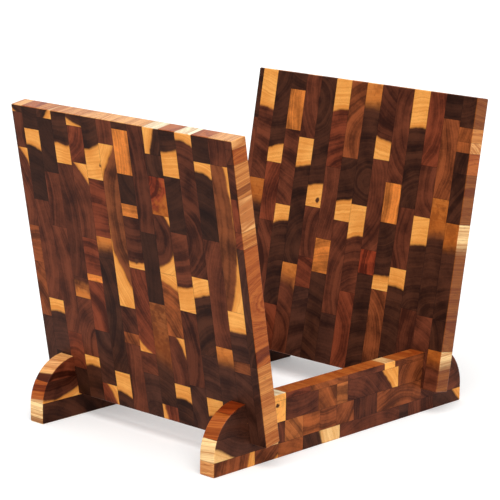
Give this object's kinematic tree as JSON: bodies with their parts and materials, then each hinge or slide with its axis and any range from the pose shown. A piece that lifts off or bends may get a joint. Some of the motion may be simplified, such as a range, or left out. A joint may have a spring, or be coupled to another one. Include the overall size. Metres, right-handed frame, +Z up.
{
  "type": "record storage stand",
  "caption": "Knock-down stand that holds a row of records upright between outward-leaning wood-block panels, halved into round-ended runners.",
  "frame": {"origin": "on the floor, under the middle of the stand", "axes": "+X along the runners towards the right panel, +Y towards the far runner, +Z up"},
  "size_m": [0.4156, 0.33, 0.3566],
  "materials": {
    "panel_wood": "end-grain blocks of dark heartwood and golden sapwood, clear satin oil",
    "runner_wood": "end-grain blocks of dark heartwood and golden sapwood, clear satin oil"
  },
  "bodies": {
    "runners": {"near_runner_course_1": "runner_wood", "near_runner_course_2": "runner_wood", "near_runner_course_3": "runner_wood", "near_runner_course_4": "runner_wood", "far_runner_course_1": "runner_wood", "far_runner_course_2": "runner_wood", "far_runner_course_3": "runner_wood"},
    "left_panel": {"left_panel_strip_01": "panel_wood", "left_panel_strip_02": "panel_wood", "left_panel_strip_03": "panel_wood", "left_panel_strip_04": "panel_wood", "left_panel_strip_05": "panel_wood", "left_panel_strip_06": "panel_wood", "left_panel_strip_07": "panel_wood", "left_panel_strip_08": "panel_wood", "left_panel_strip_09": "panel_wood", "left_panel_strip_10": "panel_wood", "left_panel_strip_11": "panel_wood", "left_panel_strip_12": "panel_wood", "left_panel_strip_13": "panel_wood", "left_panel_strip_14": "panel_wood", "left_panel_strip_15": "panel_wood"},
    "right_panel": {"right_panel_strip_01": "panel_wood", "right_panel_strip_02": "panel_wood", "right_panel_strip_03": "panel_wood", "right_panel_strip_04": "panel_wood", "right_panel_strip_05": "panel_wood", "right_panel_strip_06": "panel_wood", "right_panel_strip_07": "panel_wood", "right_panel_strip_08": "panel_wood", "right_panel_strip_09": "panel_wood", "right_panel_strip_10": "panel_wood", "right_panel_strip_11": "panel_wood", "right_panel_strip_12": "panel_wood", "right_panel_strip_13": "panel_wood", "right_panel_strip_14": "panel_wood", "right_panel_strip_15": "panel_wood"}
  },
  "joints": [
    {"name": "left_panel_lift", "type": "slide", "parent": "runners", "child": "left_panel", "axis": [-0.1736, 0, 0.9848], "range_m": [0, 0.06]},
    {"name": "right_panel_lift", "type": "slide", "parent": "runners", "child": "right_panel", "axis": [0.1736, 0, 0.9848], "range_m": [0, 0.06]}
  ]
}
